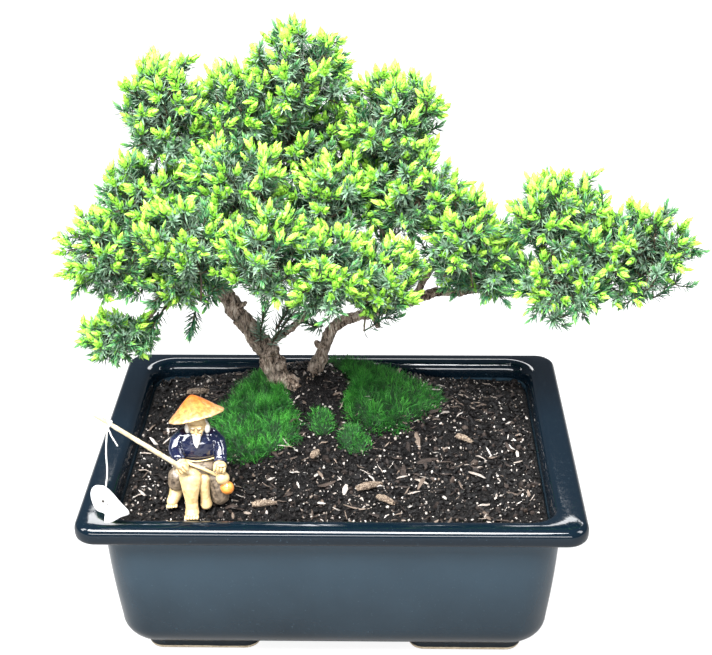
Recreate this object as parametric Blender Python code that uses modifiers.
"""A juniper bonsai in a glazed rectangular pot, with a small clay fisherman on the soil.

Everything is modelled about the pot's centre, with the ground at z = 0. One empty then
moves it all, so that the world origin lies under the middle of the whole object.
"""

import math

import bmesh
import bpy
from mathutils import Matrix, Vector, noise

# Pot, in metres.
POT_LENGTH = 0.203
POT_WIDTH = 0.152
POT_HEIGHT = 0.073
RIM_DEPTH = 0.0075
RIM_OVERHANG_ENDS = 0.0095
RIM_OVERHANG_SIDES = 0.0065
RIM_CORNER = 0.009
BODY_CORNER = 0.014
WALL = 0.0042
WALL_LEAN = 0.0035
RIM_UNDERCUT = 0.001
INNER_EDGE = 0.0045
INNER_EDGE_DEPTH = 0.0070
BOTTOM_ROUND = 0.012
FLOOR = 0.005

FOOT_HEIGHT = 0.006
FOOT_LENGTH = 0.048
FOOT_WIDTH = 0.034
FOOT_CORNER = 0.007

# Drainage holes and the mesh screens over them.
HOLE_RADIUS = 0.008
HOLE_FROM_END = 0.0565
SCREEN_SIZE = 0.030
SCREEN_THICKNESS = 0.001
SCREEN_CELLS = 4
SCREEN_BAR = 0.0016

# Soil: its level at the walls, and a mound under the tree.
SOIL_BELOW_RIM = 0.009
MOUND_HEIGHT = 0.022
MOUND_CENTRE = (-0.008, 0.032)
MOUND_SPREAD = (0.046, 0.034)

MOSS_THICKNESS = 0.008
TUFT_THICKNESS = 0.006

TRUNK_RADIUS = 0.0050

FIGURE_HEIGHT = 0.047
FIGURE_FROM_END = 0.0313
FIGURE_FROM_SIDE = 0.0283

ROD_LENGTH = 0.0662
ROD_BUTT_RADIUS = 0.0011
ROD_TIP_RADIUS = 0.0008
ROD_GRIP = 0.011
ROD_BEARING = math.radians(220.8)
ROD_RISE = math.radians(46)

LINE_RADIUS = 0.0003
LINE_STEP = 0.0013
FISH_THICKNESS = 0.0026
FISH_CENTRE = (-0.0854, -0.0730, 0.0833)

# The gap left between pieces that touch, and how far a cut runs past a face.
GAP = 0.0003
PAST = 0.004

# Heights of the tree's wood and sprays are above the soil's level at the walls.
# The wood: each stretch follows these points, each with its share of the trunk's radius.
TRUNK = [
    ((-0.0215, 0.0310, 0.005), 1.55),
    ((-0.0250, 0.0300, 0.015), 1.20),
    ((-0.0284, 0.0285, 0.026), 0.98),
    ((-0.0330, 0.0275, 0.037), 0.85),
    ((-0.0380, 0.0255, 0.047), 0.74),
    ((-0.0435, 0.0230, 0.057), 0.70),
    ((-0.0495, 0.0220, 0.072), 0.64),
    ((-0.0450, 0.0250, 0.090), 0.58),
    ((-0.0330, 0.0290, 0.107), 0.50),
    ((-0.0230, 0.0310, 0.128), 0.40),
    ((-0.0160, 0.0290, 0.148), 0.30),
    ((-0.0140, 0.0280, 0.162), 0.22),
]
SIDE_TRUNK = [
    ((-0.0175, 0.0305, 0.006), 0.90),
    ((-0.0120, 0.0320, 0.020), 0.66),
    ((-0.0066, 0.0333, 0.031), 0.54),
    ((-0.0043, 0.0342, 0.0385), 0.50),
    ((-0.0014, 0.0348, 0.0435), 0.48),
    ((0.0045, 0.0345, 0.0470), 0.46),
    ((0.0180, 0.0310, 0.0525), 0.44),
    ((0.0330, 0.0260, 0.0605), 0.41),
    ((0.0420, 0.0240, 0.0650), 0.38),
    ((0.0540, 0.0210, 0.0670), 0.35),
    ((0.0740, 0.0150, 0.0750), 0.31),
    ((0.0950, 0.0100, 0.0920), 0.27),
    ((0.1160, 0.0070, 0.0950), 0.22),
]
LIMBS = [
    [
        ((-0.0325, 0.0275, 0.036), 0.34),
        ((-0.0220, 0.0220, 0.047), 0.31),
        ((-0.0120, 0.0120, 0.061), 0.26),
        ((-0.0040, -0.0060, 0.084), 0.19),
    ],
    [
        ((-0.0495, 0.0220, 0.072), 0.34),
        ((-0.0650, 0.0150, 0.078), 0.29),
        ((-0.0820, 0.0080, 0.084), 0.23),
        ((-0.0930, 0.0040, 0.092), 0.18),
    ],
    [
        ((-0.0650, 0.0150, 0.078), 0.22),
        ((-0.0720, 0.0100, 0.071), 0.19),
        ((-0.0790, 0.0070, 0.061), 0.17),
        ((-0.0880, 0.0050, 0.057), 0.16),
    ],
    [
        ((-0.0495, 0.0220, 0.072), 0.34),
        ((-0.0540, 0.0080, 0.084), 0.30),
        ((-0.0570, -0.0080, 0.099), 0.20),
    ],
    [
        ((-0.0450, 0.0250, 0.090), 0.38),
        ((-0.0580, 0.0200, 0.102), 0.31),
        ((-0.0710, 0.0120, 0.113), 0.20),
    ],
    [
        ((-0.0330, 0.0290, 0.107), 0.36),
        ((-0.0480, 0.0250, 0.125), 0.31),
        ((-0.0610, 0.0210, 0.142), 0.22),
    ],
    [
        ((-0.0230, 0.0310, 0.128), 0.31),
        ((-0.0020, 0.0300, 0.134), 0.26),
        ((0.0180, 0.0270, 0.142), 0.19),
    ],
    [
        ((-0.0330, 0.0290, 0.107), 0.34),
        ((-0.0120, 0.0250, 0.112), 0.29),
        ((0.0060, 0.0200, 0.115), 0.24),
        ((0.0260, 0.0180, 0.117), 0.18),
    ],
    [
        ((0.0330, 0.0260, 0.0605), 0.31),
        ((0.0400, 0.0210, 0.076), 0.26),
        ((0.0490, 0.0140, 0.093), 0.18),
    ],
    [
        ((0.0740, 0.0150, 0.075), 0.24),
        ((0.0860, 0.0070, 0.076), 0.20),
        ((0.0930, 0.0020, 0.081), 0.17),
    ],
    [
        ((0.0180, 0.0310, 0.0525), 0.31),
        ((0.0200, 0.0420, 0.070), 0.26),
        ((0.0190, 0.0500, 0.093), 0.19),
    ],
    [
        ((-0.0450, 0.0250, 0.090), 0.34),
        ((-0.0480, 0.0370, 0.098), 0.26),
        ((-0.0500, 0.0470, 0.108), 0.19),
    ],
    [
        ((-0.0450, 0.0250, 0.090), 0.34),
        ((-0.0370, 0.0100, 0.104), 0.26),
        ((-0.0300, -0.0060, 0.105), 0.19),
    ],
]

# Each spray of foliage: the centre of its mass and its half sizes.
SPRAYS = {
    "crown_spray": ((-0.014, 0.028, 0.164), (0.021, 0.021, 0.018)),
    "crown_left_spray": ((-0.041, 0.026, 0.149), (0.017, 0.018, 0.016)),
    "upper_left_spray": ((-0.068, 0.020, 0.150), (0.017, 0.018, 0.021)),
    "upper_right_spray": ((0.024, 0.026, 0.144), (0.019, 0.020, 0.020)),
    "inner_crown_spray": ((-0.012, 0.036, 0.132), (0.022, 0.020, 0.017)),
    "right_shoulder_spray": ((0.031, 0.018, 0.117), (0.019, 0.020, 0.019)),
    "heart_spray": ((-0.002, 0.012, 0.113), (0.020, 0.018, 0.020)),
    "middle_left_spray": ((-0.040, 0.004, 0.126), (0.021, 0.018, 0.016)),
    "left_shoulder_spray": ((-0.076, 0.006, 0.117), (0.019, 0.019, 0.018)),
    "lower_left_spray": ((-0.093, 0.002, 0.093), (0.018, 0.019, 0.018)),
    "left_front_spray": ((-0.058, -0.014, 0.106), (0.019, 0.019, 0.018)),
    "centre_front_spray": ((-0.027, -0.016, 0.104), (0.018, 0.018, 0.018)),
    "low_centre_spray": ((-0.002, -0.014, 0.093), (0.018, 0.018, 0.018)),
    "low_right_spray": ((0.019, -0.002, 0.086), (0.017, 0.018, 0.016)),
    "left_under_spray": ((-0.066, 0.004, 0.082), (0.022, 0.017, 0.013)),
    "left_drooping_spray": ((-0.092, 0.004, 0.054), (0.015, 0.012, 0.012)),
    "right_middle_spray": ((0.051, 0.012, 0.099), (0.016, 0.018, 0.020)),
    "right_low_spray": ((0.066, 0.016, 0.084), (0.015, 0.016, 0.017)),
    "right_upper_spray": ((0.093, 0.011, 0.107), (0.020, 0.019, 0.017)),
    "right_front_spray": ((0.095, 0.000, 0.083), (0.020, 0.019, 0.018)),
    "right_core_spray": ((0.110, 0.006, 0.091), (0.018, 0.018, 0.019)),
    "right_end_spray": ((0.127, 0.006, 0.093), (0.021, 0.020, 0.021)),
    "back_left_spray": ((-0.050, 0.050, 0.114), (0.024, 0.019, 0.020)),
    "back_right_spray": ((0.018, 0.052, 0.104), (0.024, 0.018, 0.020)),
}
SPRAY_LUMPS = 0.10

# Moss: the outline of each clump seen from above, and each tuft's centre and radius.
CLUMPS = {
    "moss_clump_left": [
        (-0.036, 0.044), (-0.026, 0.031), (-0.024, 0.021), (-0.021, 0.012), (-0.017, 0.004),
        (-0.018, -0.004), (-0.026, -0.009), (-0.033, -0.012), (-0.041, -0.013), (-0.049, -0.008),
        (-0.053, 0.004), (-0.054, 0.016), (-0.048, 0.027), (-0.042, 0.037),
    ],
    "moss_clump_right": [
        (-0.004, 0.046), (0.008, 0.051), (0.021, 0.050), (0.035, 0.046), (0.046, 0.038),
        (0.041, 0.023), (0.031, 0.010), (0.024, 0.005), (0.015, 0.004), (0.006, 0.009),
        (0.004, 0.015), (0.007, 0.021), (0.006, 0.029), (0.000, 0.037),
    ],
}
TUFTS = {
    "moss_tuft_left": ((-0.0065, 0.0040), 0.0052),
    "moss_tuft_right": ((0.0080, -0.0030), 0.0066),
}

# Wood chips: place, then length, width and thickness, then turn and tilt in degrees.
CHIPS = {
    "wood_chip_a": ((0.0150, -0.0320), (0.013, 0.0040, 0.0024), 38, 12),
    "wood_chip_b": ((0.0215, -0.0420), (0.011, 0.0034, 0.0022), -52, -10),
    "wood_chip_c": ((-0.0280, -0.0450), (0.010, 0.0036, 0.0022), 20, 8),
    "wood_chip_d": ((-0.0085, -0.0120), (0.010, 0.0032, 0.0022), 75, 14),
    "wood_chip_e": ((-0.0640, 0.0420), (0.012, 0.0036, 0.0024), 12, 6),
    "wood_chip_f": ((0.0560, 0.0060), (0.008, 0.0034, 0.0020), -30, 9),
}

# The line starts on the rod, goes once round it and hangs down to the fish.
LINE_POINTS = [
    (-0.0835, -0.0731, 0.1180),
    (-0.0826, -0.0731, 0.1184),
    (-0.0820, -0.0726, 0.1190),
    (-0.0819, -0.0717, 0.1194),
    (-0.0823, -0.0708, 0.1194),
    (-0.0831, -0.0703, 0.1189),
    (-0.0837, -0.0704, 0.1182),
    (-0.0839, -0.0706, 0.1169),
    (-0.0842, -0.0709, 0.1148),
    (-0.0846, -0.0714, 0.1114),
    (-0.0850, -0.0719, 0.1074),
    (-0.0851, -0.0724, 0.1034),
    (-0.0851, -0.0727, 0.0994),
    (-0.0855, -0.0729, 0.0954),
    (-0.0862, -0.0730, 0.0914),
]

# The fish's outline as seen from the front, about its centre.
FISH_OUTLINE = [
    (-0.0008, 0.0077), (-0.0032, 0.0086), (-0.0056, 0.0080), (-0.0070, 0.0050),
    (-0.0066, 0.0010), (-0.0052, -0.0026), (-0.0022, -0.0043), (-0.0026, -0.0085),
    (0.0002, -0.0082), (0.0040, -0.0058), (0.0074, -0.0040), (0.0044, 0.0006), (0.0018, 0.0046),
]

# The clay figure in shares of its height, about the middle of its seat on the soil, facing
# -Y: each lump's centre, half sizes and turn about Y in degrees.
FIGURE_LUMPS = [
    ((0.00, 0.08, 0.10), (0.27, 0.22, 0.16), 0),
    ((0.00, 0.04, 0.33), (0.23, 0.18, 0.20), 0),
    ((0.01, 0.03, 0.52), (0.21, 0.15, 0.19), 0),
    ((0.05, 0.00, 0.76), (0.10, 0.11, 0.13), 0),
    ((0.06, -0.13, 0.66), (0.055, 0.05, 0.11), 0),
    ((-0.17, -0.05, 0.52), (0.09, 0.13, 0.14), 20),
    ((-0.12, -0.19, 0.47), (0.10, 0.13, 0.07), 0),
    ((-0.05, -0.29, 0.45), (0.065, 0.065, 0.065), 0),
    ((0.20, -0.05, 0.50), (0.09, 0.13, 0.15), -20),
    ((0.22, -0.16, 0.40), (0.08, 0.12, 0.07), 0),
    ((0.12, -0.17, 0.27), (0.12, 0.20, 0.10), 0),
    ((-0.12, -0.15, 0.27), (0.12, 0.18, 0.10), 0),
    ((-0.02, -0.28, 0.18), (0.075, 0.08, 0.17), 0),
    ((-0.02, -0.33, 0.04), (0.08, 0.12, 0.05), 0),
    ((-0.20, -0.24, 0.14), (0.07, 0.08, 0.16), 0),
    ((-0.21, -0.28, 0.04), (0.075, 0.11, 0.05), 0),
    ((0.25, -0.17, 0.16), (0.10, 0.10, 0.10), 0),
]
HAT_CENTRE = (0.03, 0.01, 0.90)
HAT_RADIUS = 0.26
HAT_HEIGHT = 0.20
HAT_TILT = math.radians(-12)
FIGURE_VOXEL = 0.0007
FIGURE_KEEP = 0.05

# How finely each shape is faceted.
POT_STEPS = 5
INNER_LEVELS = (1.0, 0.6, 0.3, 0.1, 0.0)
# The rim's section, as insets in metres and shares of its depth, then the rounded edge
# inside it, as shares of its size.
RIM_PROFILE = ((0.0015, 0), (0.0003, 0.06), (0, 0.25), (0, 0.6), (0.0004, 0.85), (0.0016, 1))
INNER_EDGE_PROFILE = ((1.0, 0), (0.5, 0.13), (0.13, 0.5), (0, 1.0))
SOIL_RINGS = 9
SPRAY_SEGMENTS = 14
SPRAY_RINGS = 9
TUBE_SIDES = 2
TUBE_STEPS = 2


# Names and materials ----------------------------------------------------------------------


def material(name, colour, roughness, coat=0.0):
    made = bpy.data.materials.new(name)
    made.use_nodes = True
    made.diffuse_color = (*colour, 1)
    shader = made.node_tree.nodes["Principled BSDF"]
    shader.inputs["Base Color"].default_value = (*colour, 1)
    shader.inputs["Roughness"].default_value = roughness
    shader.inputs["Metallic"].default_value = 0.0
    shader.inputs["Coat Weight"].default_value = coat
    return made


def add_object(name, data, shade, collection):
    made = bpy.data.objects.new(name, data)
    if shade:
        data.materials.append(shade)
    collection.objects.link(made)
    return made


def add_mesh(name, bm, shade, collection):
    """Makes the bmesh into an object, with its faces pointing out."""
    bmesh.ops.recalc_face_normals(bm, faces=bm.faces)
    mesh = bpy.data.meshes.new(name)
    bm.to_mesh(mesh)
    bm.free()
    return add_object(name, mesh, shade, collection)


def as_cutter(obj):
    obj.hide_render = True
    obj.display_type = "WIRE"
    return obj


def boolean(obj, operation, other):
    modifier = obj.modifiers.new(operation.lower() + " " + other.name, "BOOLEAN")
    modifier.operation = operation
    modifier.solver = "EXACT"
    modifier.object = other


# Lofts ------------------------------------------------------------------------------------


def rounded_rectangle(half_x, half_y, radius, steps):
    """Points of a rounded rectangle, anticlockwise, with steps to each corner."""
    corners = [(1, 1, 0), (-1, 1, 90), (-1, -1, 180), (1, -1, 270)]
    points = []
    for sign_x, sign_y, start in corners:
        centre_x = sign_x * (half_x - radius)
        centre_y = sign_y * (half_y - radius)
        for step in range(steps + 1):
            angle = math.radians(start + 90 * step / steps)
            x = centre_x + radius * math.cos(angle)
            y = centre_y + radius * math.sin(angle)
            points.append((x, y))
    return points


def loft(rings):
    """A closed bmesh through rings of equally many points, with both ends filled."""
    bm = bmesh.new()
    levels = [[bm.verts.new(point) for point in ring] for ring in rings]
    count = len(levels[0])
    for low, high in zip(levels, levels[1:]):
        for index in range(count):
            after = (index + 1) % count
            bm.faces.new((low[index], low[after], high[after], high[index]))
    bm.faces.new(levels[0][::-1])
    bm.faces.new(levels[-1])
    return bm


# Pot --------------------------------------------------------------------------------------


def body_ring(inset, z, radius):
    """A level of the pot's body, inset from the outside of its wall under the rim."""
    half_x = POT_LENGTH / 2 - RIM_OVERHANG_ENDS - inset
    half_y = POT_WIDTH / 2 - RIM_OVERHANG_SIDES - inset
    return [(x, y, z) for x, y in rounded_rectangle(half_x, half_y, radius, POT_STEPS)]


def rim_ring(inset, z, radius):
    """A level of the pot's rim, inset from the rim's outer edge."""
    half_x = POT_LENGTH / 2 - inset
    half_y = POT_WIDTH / 2 - inset
    return [(x, y, z) for x, y in rounded_rectangle(half_x, half_y, radius, POT_STEPS)]


def lean_at(z):
    """How far the body's outside has leaned in at this height."""
    top = POT_HEIGHT - RIM_DEPTH
    low = FOOT_HEIGHT + BOTTOM_ROUND
    return WALL_LEAN * min(1.0, max(0.0, (top - z) / (top - low)))


def inner_inset(z):
    """How far the inside of the wall is inset at this height, with its rounded foot."""
    floor = FOOT_HEIGHT + FLOOR
    inner_round = BOTTOM_ROUND - WALL / 2
    inset = lean_at(z) + WALL
    depth = floor + inner_round - z
    if depth > 0:
        inset += inner_round - math.sqrt(max(0.0, inner_round**2 - depth**2))
    return inset


def pot_rings():
    rings = []
    for angle in (0, 20, 40, 60, 80):
        turn = math.radians(angle)
        inset = WALL_LEAN + BOTTOM_ROUND * (1 - math.sin(turn))
        z = FOOT_HEIGHT + BOTTOM_ROUND * (1 - math.cos(turn))
        rings.append(body_ring(inset, z, BODY_CORNER - (inset - WALL_LEAN) / 2))
    low = FOOT_HEIGHT + BOTTOM_ROUND
    top = POT_HEIGHT - RIM_DEPTH
    rings.append(body_ring(WALL_LEAN, low, BODY_CORNER))
    rings.append(body_ring(0, top - RIM_UNDERCUT, BODY_CORNER))
    for inset, rise in RIM_PROFILE:
        rings.append(rim_ring(inset, top + RIM_DEPTH * rise, RIM_CORNER - inset))
    for share, drop in INNER_EDGE_PROFILE:
        inset = WALL - INNER_EDGE * share
        rings.append(body_ring(inset, POT_HEIGHT - INNER_EDGE_DEPTH * drop, BODY_CORNER - inset))
    floor = FOOT_HEIGHT + FLOOR
    inner_round = BOTTOM_ROUND - WALL / 2
    for share in INNER_LEVELS:
        z = floor + inner_round * share
        rings.append(body_ring(inner_inset(z), z, BODY_CORNER - WALL))
    return rings


def hole_x(sign):
    """Where the drainage hole on this side of the pot's middle is."""
    return sign * (POT_LENGTH / 2 - HOLE_FROM_END)


def foot(sign_x, sign_y, bottom_half_x, bottom_half_y):
    """One foot of the pot, at a corner of its bottom, tapering a little to the ground."""
    centre_x = sign_x * (bottom_half_x - FOOT_LENGTH / 2)
    centre_y = sign_y * (bottom_half_y - FOOT_WIDTH / 2)
    rings = []
    for inset, z in ((0.0012, 0), (0.0003, 0.0012), (0, FOOT_HEIGHT + FLOOR / 2)):
        half_x = FOOT_LENGTH / 2 - inset
        half_y = FOOT_WIDTH / 2 - inset
        outline = rounded_rectangle(half_x, half_y, FOOT_CORNER - inset, POT_STEPS)
        rings.append([(centre_x + x, centre_y + y, z) for x, y in outline])
    return loft(rings)


def make_pot(shade, parts, cutters):
    pot = add_mesh("pot", loft(pot_rings()), shade, parts)
    half_x = POT_LENGTH / 2 - RIM_OVERHANG_ENDS - WALL_LEAN - BOTTOM_ROUND * 0.8
    half_y = POT_WIDTH / 2 - RIM_OVERHANG_SIDES - WALL_LEAN - BOTTOM_ROUND * 0.8
    for sign_x in (-1, 1):
        for sign_y in (-1, 1):
            name = f"foot_{'left' if sign_x < 0 else 'right'}_{'front' if sign_y < 0 else 'back'}"
            block = add_mesh(name, foot(sign_x, sign_y, half_x, half_y), None, cutters)
            boolean(pot, "UNION", as_cutter(block))
    for sign in (-1, 1):
        bm = bmesh.new()
        bmesh.ops.create_cone(
            bm, cap_ends=True, segments=20, radius1=HOLE_RADIUS, radius2=HOLE_RADIUS,
            depth=FLOOR + 2 * PAST,
            matrix=Matrix.Translation((hole_x(sign), 0, FOOT_HEIGHT + FLOOR / 2)),
        )
        hole = add_mesh("drainage_hole_cutter", bm, None, cutters)
        boolean(pot, "DIFFERENCE", as_cutter(hole))
    return pot


def make_screen(name, x, shade, parts):
    """A square mesh screen lying over a drainage hole."""
    bm = bmesh.new()
    z = FOOT_HEIGHT + FLOOR + GAP
    bmesh.ops.create_grid(
        bm, x_segments=SCREEN_CELLS, y_segments=SCREEN_CELLS, size=SCREEN_SIZE / 2,
        matrix=Matrix.Translation((x, 0, z)),
    )
    inset = bmesh.ops.inset_individual(bm, faces=bm.faces[:], thickness=SCREEN_BAR / 2)
    rims = set(inset["faces"])
    inner = [face for face in bm.faces if face not in rims]
    bmesh.ops.delete(bm, geom=inner, context="FACES")
    screen = add_mesh(name, bm, shade, parts)
    thick = screen.modifiers.new("thickness", "SOLIDIFY")
    thick.thickness = SCREEN_THICKNESS
    thick.offset = 1
    return screen


# Soil and what lies on it -----------------------------------------------------------------


def soil_level():
    return POT_HEIGHT - SOIL_BELOW_RIM


def soil_height(x, y):
    """The soil's surface: level at the walls, a mound under the tree, small unevenness."""
    across = ((x - MOUND_CENTRE[0]) / MOUND_SPREAD[0]) ** 2
    along = ((y - MOUND_CENTRE[1]) / MOUND_SPREAD[1]) ** 2
    mound = MOUND_HEIGHT * math.exp(-across - along)
    uneven = 0.0008 * noise.noise(Vector((x * 70, y * 70, 0.4)))
    return soil_level() + mound + uneven


def soil_rings():
    """Rings up the inside of the wall, then in over the surface to the mound's middle."""
    floor = FOOT_HEIGHT + FLOOR
    inner_round = BOTTOM_ROUND - WALL / 2
    rings = []
    for share in reversed(INNER_LEVELS):
        z = floor + inner_round * share
        rings.append(body_ring(inner_inset(z) + 2 * GAP, z + GAP, BODY_CORNER - WALL))
    edge = body_ring(inner_inset(soil_level()) + 2 * GAP, 0, BODY_CORNER - WALL)
    for ring in range(SOIL_RINGS):
        share = 1 - (ring / SOIL_RINGS) ** 1.1
        middle_x = MOUND_CENTRE[0] * (1 - share)
        middle_y = MOUND_CENTRE[1] * (1 - share)
        points = [(middle_x + x * share, middle_y + y * share) for x, y, _ in edge]
        rings.append([(x, y, soil_height(x, y)) for x, y in points])
    return rings


def make_soil(shade, parts, cutters):
    """The soil, and a copy lifted by the gap, which trims what lies on it."""
    bm = loft(soil_rings())
    bmesh.ops.triangulate(bm, faces=bm.faces)
    soil = add_mesh("soil", bm, shade, parts)
    lifted = add_object("soil_trimmer", soil.data.copy(), None, cutters)
    lifted.location.z = GAP
    for sign in (-1, 1):
        bm = bmesh.new()
        half = SCREEN_SIZE / 2 + GAP
        top = FOOT_HEIGHT + FLOOR + SCREEN_THICKNESS + 2 * GAP
        bmesh.ops.create_cube(bm, size=1)
        bmesh.ops.scale(bm, vec=(2 * half, 2 * half, 2 * PAST), verts=bm.verts)
        bmesh.ops.translate(bm, vec=(hole_x(sign), 0, top - PAST), verts=bm.verts)
        pocket = add_mesh("screen_pocket_cutter", bm, None, cutters)
        boolean(soil, "DIFFERENCE", as_cutter(pocket))
    return soil, as_cutter(lifted)


def closed_curve(outline, steps):
    """A smooth closed curve through the outline's points."""
    count = len(outline)
    points = []
    for index in range(count):
        a, b, c, d = (Vector(outline[(index + offset) % count]) for offset in (-1, 0, 1, 2))
        for step in range(steps):
            t = step / steps
            points.append(spline_point(a, b, c, d, t))
    return points


def spline_point(a, b, c, d, t):
    """The point at share t between b and c of a smooth curve that passes through all four."""
    steep = (c - a) * t
    bend = (2 * a - 5 * b + 4 * c - d) * t**2
    turn = (3 * b - a - 3 * c + d) * t**3
    return b + (steep + bend + turn) / 2


def moss_mesh(outline, thickness):
    """A low dome on the soil over the outline, with its underside sunk below the surface."""
    middle = sum(outline, Vector((0, 0))) / len(outline)
    rings = []
    for share, height in ((0.5, -0.3), (1.0, -0.2), (0.93, 0.45), (0.75, 0.8), (0.5, 0.97), (0.22, 1.0)):
        ring = []
        for point in outline:
            x, y = middle.lerp(point, share)
            lump = 1 + 0.25 * noise.noise(Vector((x * 120, y * 120, 3.1)))
            ring.append((x, y, soil_height(x, y) + thickness * height * lump))
        rings.append(ring)
    return loft(rings)


def make_moss(shade, parts, soil_trimmer, wood_trimmer):
    moss = []
    for name, outline in CLUMPS.items():
        bm = moss_mesh(closed_curve(outline, 3), MOSS_THICKNESS)
        moss.append(add_mesh(name, bm, shade, parts))
    for name, (centre, radius) in TUFTS.items():
        circle = [Vector((math.cos(math.tau * n / 14), math.sin(math.tau * n / 14))) for n in range(14)]
        outline = [Vector(centre) + radius * point for point in circle]
        moss.append(add_mesh(name, moss_mesh(outline, TUFT_THICKNESS), shade, parts))
    for clump in moss:
        boolean(clump, "DIFFERENCE", soil_trimmer)
    for clump in moss[: len(CLUMPS)]:
        boolean(clump, "DIFFERENCE", wood_trimmer)


def make_chip(name, place, size, turn, tilt, shade, parts, soil_trimmer):
    """A flat splinter of bark lying on the soil, with ends of unlike width."""
    bm = bmesh.new()
    bmesh.ops.create_cube(bm, size=1)
    for vert in bm.verts:
        vert.co.x *= size[0]
        vert.co.y *= size[1] * (1.15 if vert.co.x < 0 else 0.7)
        vert.co.z *= size[2]
    x, y = place
    lie = Matrix.Translation((x, y, soil_height(x, y) + size[2] * 0.6))
    lie = lie @ Matrix.Rotation(math.radians(turn), 4, "Z") @ Matrix.Rotation(math.radians(tilt), 4, "Y")
    bm.transform(lie)
    chip = add_mesh(name, bm, shade, parts)
    boolean(chip, "DIFFERENCE", soil_trimmer)


# Wood and foliage -------------------------------------------------------------------------


def tube(name, points, grow, collection):
    """A tapering round stretch of wood as a closed mesh, grown all over by this much."""
    above_soil = Vector((0, 0, soil_level()))
    places = [Vector(place) + above_soil for place, _ in points]
    places[0] += (places[0] - places[1]).normalized() * grow
    places[-1] += (places[-1] - places[-2]).normalized() * grow
    curve = bpy.data.curves.new(name, "CURVE")
    curve.dimensions = "3D"
    curve.bevel_depth = 1
    curve.bevel_resolution = TUBE_SIDES
    curve.resolution_u = TUBE_STEPS
    curve.use_fill_caps = True
    spline = curve.splines.new("BEZIER")
    spline.bezier_points.add(len(points) - 1)
    for knot, place, (_, share) in zip(spline.bezier_points, places, points):
        knot.co = place
        knot.radius = TRUNK_RADIUS * share + grow
        knot.handle_left_type = "AUTO"
        knot.handle_right_type = "AUTO"
    guide = add_object(name, curve, None, collection)
    graph = bpy.context.evaluated_depsgraph_get()
    mesh = bpy.data.meshes.new_from_object(guide.evaluated_get(graph))
    bpy.data.objects.remove(guide, do_unlink=True)
    bm = bmesh.new()
    bm.from_mesh(mesh)
    bpy.data.meshes.remove(mesh)
    bmesh.ops.remove_doubles(bm, verts=bm.verts, dist=0.00001)
    return add_mesh(name, bm, None, collection)


def make_wood(name, grow, shade, collection, cutters):
    """The trunk, the side trunk and the limbs, joined into one solid."""
    wood = tube(name, TRUNK, grow, collection)
    if shade:
        wood.data.materials.append(shade)
    stretches = [SIDE_TRUNK] + LIMBS
    for index, points in enumerate(stretches):
        piece = tube(f"{name}_stretch_{index}", points, grow, cutters)
        boolean(wood, "UNION", as_cutter(piece))
    return wood


def spray_lump(direction, seed):
    return 1 + SPRAY_LUMPS * noise.noise(direction * 2.4 + Vector((seed * 7.3, seed * 1.9, 0)))


def dividing_plane(centre, sizes, other_centre, other_sizes):
    """Where the middle lies between two sprays, as a point, and the way to the other."""
    way = other_centre - centre
    along = way.normalized()
    reach = 1 / Vector([along[n] / sizes[n] for n in range(3)]).length
    other_reach = 1 / Vector([along[n] / other_sizes[n] for n in range(3)]).length
    grown = 1 + SPRAY_LUMPS
    if (reach + other_reach) * grown < way.length:
        return None
    share = reach / (reach + other_reach)
    return centre + way * share - along * GAP, along


def make_spray(name, seed, shade, parts, wood_trimmer):
    """A lumpy mass of foliage, cut flat where it meets the sprays beside it."""
    above_soil = Vector((0, 0, soil_level()))
    centre = Vector(SPRAYS[name][0]) + above_soil
    sizes = SPRAYS[name][1]
    bm = bmesh.new()
    bmesh.ops.create_uvsphere(bm, u_segments=SPRAY_SEGMENTS, v_segments=SPRAY_RINGS, radius=1)
    for vert in bm.verts:
        lump = spray_lump(vert.co, seed)
        vert.co = centre + Vector([vert.co[n] * sizes[n] * lump for n in range(3)])
    for other, (other_place, other_sizes) in SPRAYS.items():
        if other == name:
            continue
        plane = dividing_plane(centre, sizes, Vector(other_place) + above_soil, other_sizes)
        if plane is None:
            continue
        whole = bm.verts[:] + bm.edges[:] + bm.faces[:]
        bmesh.ops.bisect_plane(
            bm, geom=whole, dist=1e-6, plane_co=plane[0], plane_no=plane[1], clear_outer=True,
        )
        open_edges = [edge for edge in bm.edges if edge.is_boundary]
        bmesh.ops.holes_fill(bm, edges=open_edges, sides=0)
    bmesh.ops.remove_doubles(bm, verts=bm.verts, dist=0.00005)
    spray = add_mesh(name, bm, shade, parts)
    boolean(spray, "DIFFERENCE", wood_trimmer)


# Figure, rod, line and fish ---------------------------------------------------------------


def figure_place():
    """The middle of the figure's seat, on the soil near the pot's left end and front side."""
    inset = inner_inset(soil_level())
    x = -(POT_LENGTH / 2 - RIM_OVERHANG_ENDS - inset) + FIGURE_FROM_END
    y = -(POT_WIDTH / 2 - RIM_OVERHANG_SIDES - inset) + FIGURE_FROM_SIDE
    return Vector((x, y, soil_height(x, y)))


def rod_ends():
    """The rod's butt and tip: its grip lies at the figure's right hand."""
    along = Vector((
        math.cos(ROD_BEARING) * math.cos(ROD_RISE),
        math.sin(ROD_BEARING) * math.cos(ROD_RISE),
        math.sin(ROD_RISE),
    ))
    hand = figure_place() + FIGURE_HEIGHT * Vector((-0.052, -0.298, 0.455))
    butt = hand - along * ROD_GRIP
    return butt, butt + along * ROD_LENGTH


def rod_mesh(grow):
    butt, tip = rod_ends()
    along = (tip - butt).normalized()
    turn = along.to_track_quat("Z", "Y").to_matrix().to_4x4()
    bm = bmesh.new()
    bmesh.ops.create_cone(
        bm, cap_ends=True, segments=10, radius1=ROD_BUTT_RADIUS + grow, radius2=ROD_TIP_RADIUS + grow,
        depth=ROD_LENGTH + 2 * grow, matrix=Matrix.Translation((butt + tip) / 2) @ turn,
    )
    return bm


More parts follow.
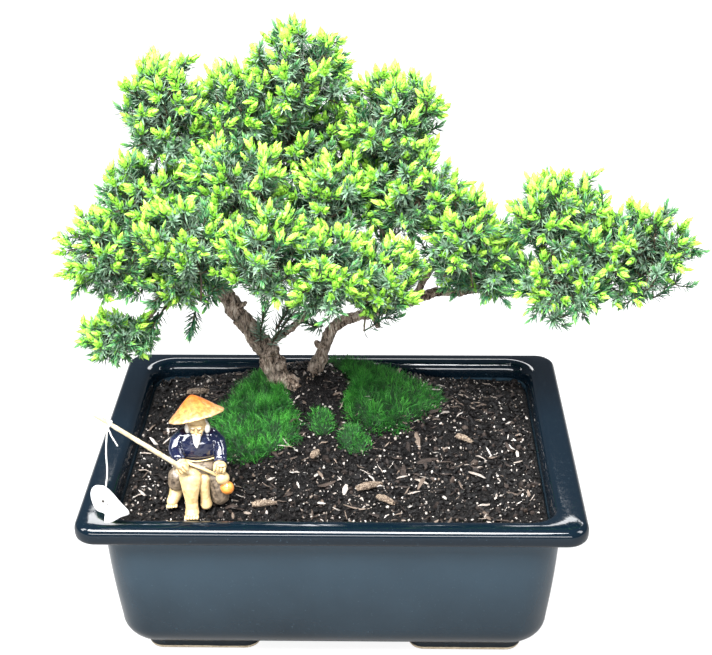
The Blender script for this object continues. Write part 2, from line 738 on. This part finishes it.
def make_figure(shade, parts, soil_trimmer, rod_trimmer):
    """Overlapping lumps remeshed into one skin, thinned, and trimmed to the soil and the rod."""
    bm = bmesh.new()
    for centre, sizes, turn in FIGURE_LUMPS:
        shape = Matrix.Translation(centre) @ Matrix.Rotation(math.radians(turn), 4, "Y")
        shape = shape @ Matrix.Diagonal((*sizes, 1))
        bmesh.ops.create_icosphere(bm, subdivisions=3, radius=1, matrix=shape)
    hat = Matrix.Translation(HAT_CENTRE) @ Matrix.Rotation(HAT_TILT, 4, "Y")
    bmesh.ops.create_cone(
        bm, cap_ends=True, segments=24, radius1=HAT_RADIUS, radius2=0.02, depth=HAT_HEIGHT, matrix=hat,
    )
    bm.transform(Matrix.Translation(figure_place()) @ Matrix.Scale(FIGURE_HEIGHT, 4))
    figure = add_mesh("fisherman_figure", bm, shade, parts)
    skin = figure.modifiers.new("one skin", "REMESH")
    skin.mode = "VOXEL"
    skin.voxel_size = FIGURE_VOXEL
    thin = figure.modifiers.new("fewer faces", "DECIMATE")
    thin.ratio = FIGURE_KEEP
    boolean(figure, "DIFFERENCE", soil_trimmer)
    boolean(figure, "DIFFERENCE", rod_trimmer)


def open_curve(points, step):
    """Points about one step apart on a smooth open curve through these points."""
    places = [Vector(point) for point in points]
    ends = [2 * places[0] - places[1]] + places + [2 * places[-1] - places[-2]]
    found = []
    for index in range(len(places) - 1):
        a, b, c, d = ends[index : index + 4]
        count = max(1, round((c - b).length / step))
        found += [spline_point(a, b, c, d, part / count) for part in range(count)]
    return found + [places[-1]]


def make_line(shade, parts):
    curve = bpy.data.curves.new("fishing_line", "CURVE")
    curve.dimensions = "3D"
    curve.bevel_depth = LINE_RADIUS
    curve.bevel_resolution = 2
    curve.use_fill_caps = True
    points = open_curve(LINE_POINTS, LINE_STEP)
    spline = curve.splines.new("POLY")
    spline.points.add(len(points) - 1)
    for knot, point in zip(spline.points, points):
        knot.co = (*point, 1)
    return add_object("fishing_line", curve, shade, parts)


def make_fish(shade, parts):
    curve = bpy.data.curves.new("fish", "CURVE")
    curve.dimensions = "2D"
    curve.fill_mode = "BOTH"
    curve.extrude = FISH_THICKNESS / 2
    points = closed_curve(FISH_OUTLINE, 3)
    spline = curve.splines.new("POLY")
    spline.points.add(len(points) - 1)
    for knot, point in zip(spline.points, points):
        knot.co = (*point, 0, 1)
    spline.use_cyclic_u = True
    fish = add_object("fish", curve, shade, parts)
    fish.rotation_euler.x = math.radians(90)
    fish.location = FISH_CENTRE
    return fish


# The whole object -------------------------------------------------------------------------


def middle_of_base(objects):
    """The middle of the box round these objects, at its lowest level."""
    bpy.context.view_layer.update()
    graph = bpy.context.evaluated_depsgraph_get()
    low = Vector((math.inf,) * 3)
    high = Vector((-math.inf,) * 3)
    for obj in objects:
        evaluated = obj.evaluated_get(graph)
        for corner in evaluated.bound_box:
            place = evaluated.matrix_world @ Vector(corner)
            low = Vector(map(min, low, place))
            high = Vector(map(max, high, place))
    return Vector(((low.x + high.x) / 2, (low.y + high.y) / 2, low.z))


def main():
    for obj in list(bpy.data.objects):
        bpy.data.objects.remove(obj, do_unlink=True)
    parts = bpy.data.collections.new("bonsai_in_pot")
    cutters = bpy.data.collections.new("cutters")
    for collection in (parts, cutters):
        bpy.context.scene.collection.children.link(collection)

    glaze = material("dark glaze", (0.012, 0.022, 0.035), 0.12, coat=1.0)
    plastic = material("black mesh", (0.03, 0.03, 0.03), 0.5)
    earth = material("potting soil", (0.022, 0.013, 0.009), 0.95)
    moss = material("moss", (0.03, 0.16, 0.02), 0.9)
    bark_chip = material("bark chip", (0.11, 0.06, 0.035), 0.85)
    bark = material("juniper bark", (0.14, 0.085, 0.06), 0.9)
    needles = material("juniper needles", (0.10, 0.27, 0.07), 0.6)
    clay = material("painted clay", (0.55, 0.42, 0.26), 0.4)
    bamboo = material("bamboo", (0.72, 0.58, 0.38), 0.5)
    thread = material("thread", (0.82, 0.80, 0.76), 0.8)
    white_clay = material("white clay", (0.85, 0.84, 0.82), 0.35)

    make_pot(glaze, parts, cutters)
    make_screen("drainage_screen_left", hole_x(-1), plastic, parts)
    make_screen("drainage_screen_right", hole_x(1), plastic, parts)
    soil, soil_trimmer = make_soil(earth, parts, cutters)

    make_wood("trunk_and_limbs", 0, bark, parts, cutters)
    wood_trimmer = as_cutter(make_wood("wood_trimmer", 1.5 * GAP, None, cutters, cutters))
    boolean(soil, "DIFFERENCE", wood_trimmer)
    make_moss(moss, parts, soil_trimmer, wood_trimmer)
    for name, (place, size, turn, tilt) in CHIPS.items():
        make_chip(name, place, size, turn, tilt, bark_chip, parts, soil_trimmer)
    for seed, name in enumerate(SPRAYS):
        make_spray(name, seed, needles, parts, wood_trimmer)

    rod_trimmer = as_cutter(add_mesh("rod_trimmer", rod_mesh(GAP), None, cutters))
    make_figure(clay, parts, soil_trimmer, rod_trimmer)
    add_mesh("fishing_rod", rod_mesh(0), bamboo, parts)
    hung = [make_line(thread, parts), make_fish(white_clay, parts)]

    standing = [obj for obj in parts.objects if obj not in hung]
    origin = bpy.data.objects.new("bonsai_origin", None)
    parts.objects.link(origin)
    origin.location = -middle_of_base(standing)
    for obj in list(parts.objects) + list(cutters.objects):
        if obj != origin:
            obj.parent = origin


main()
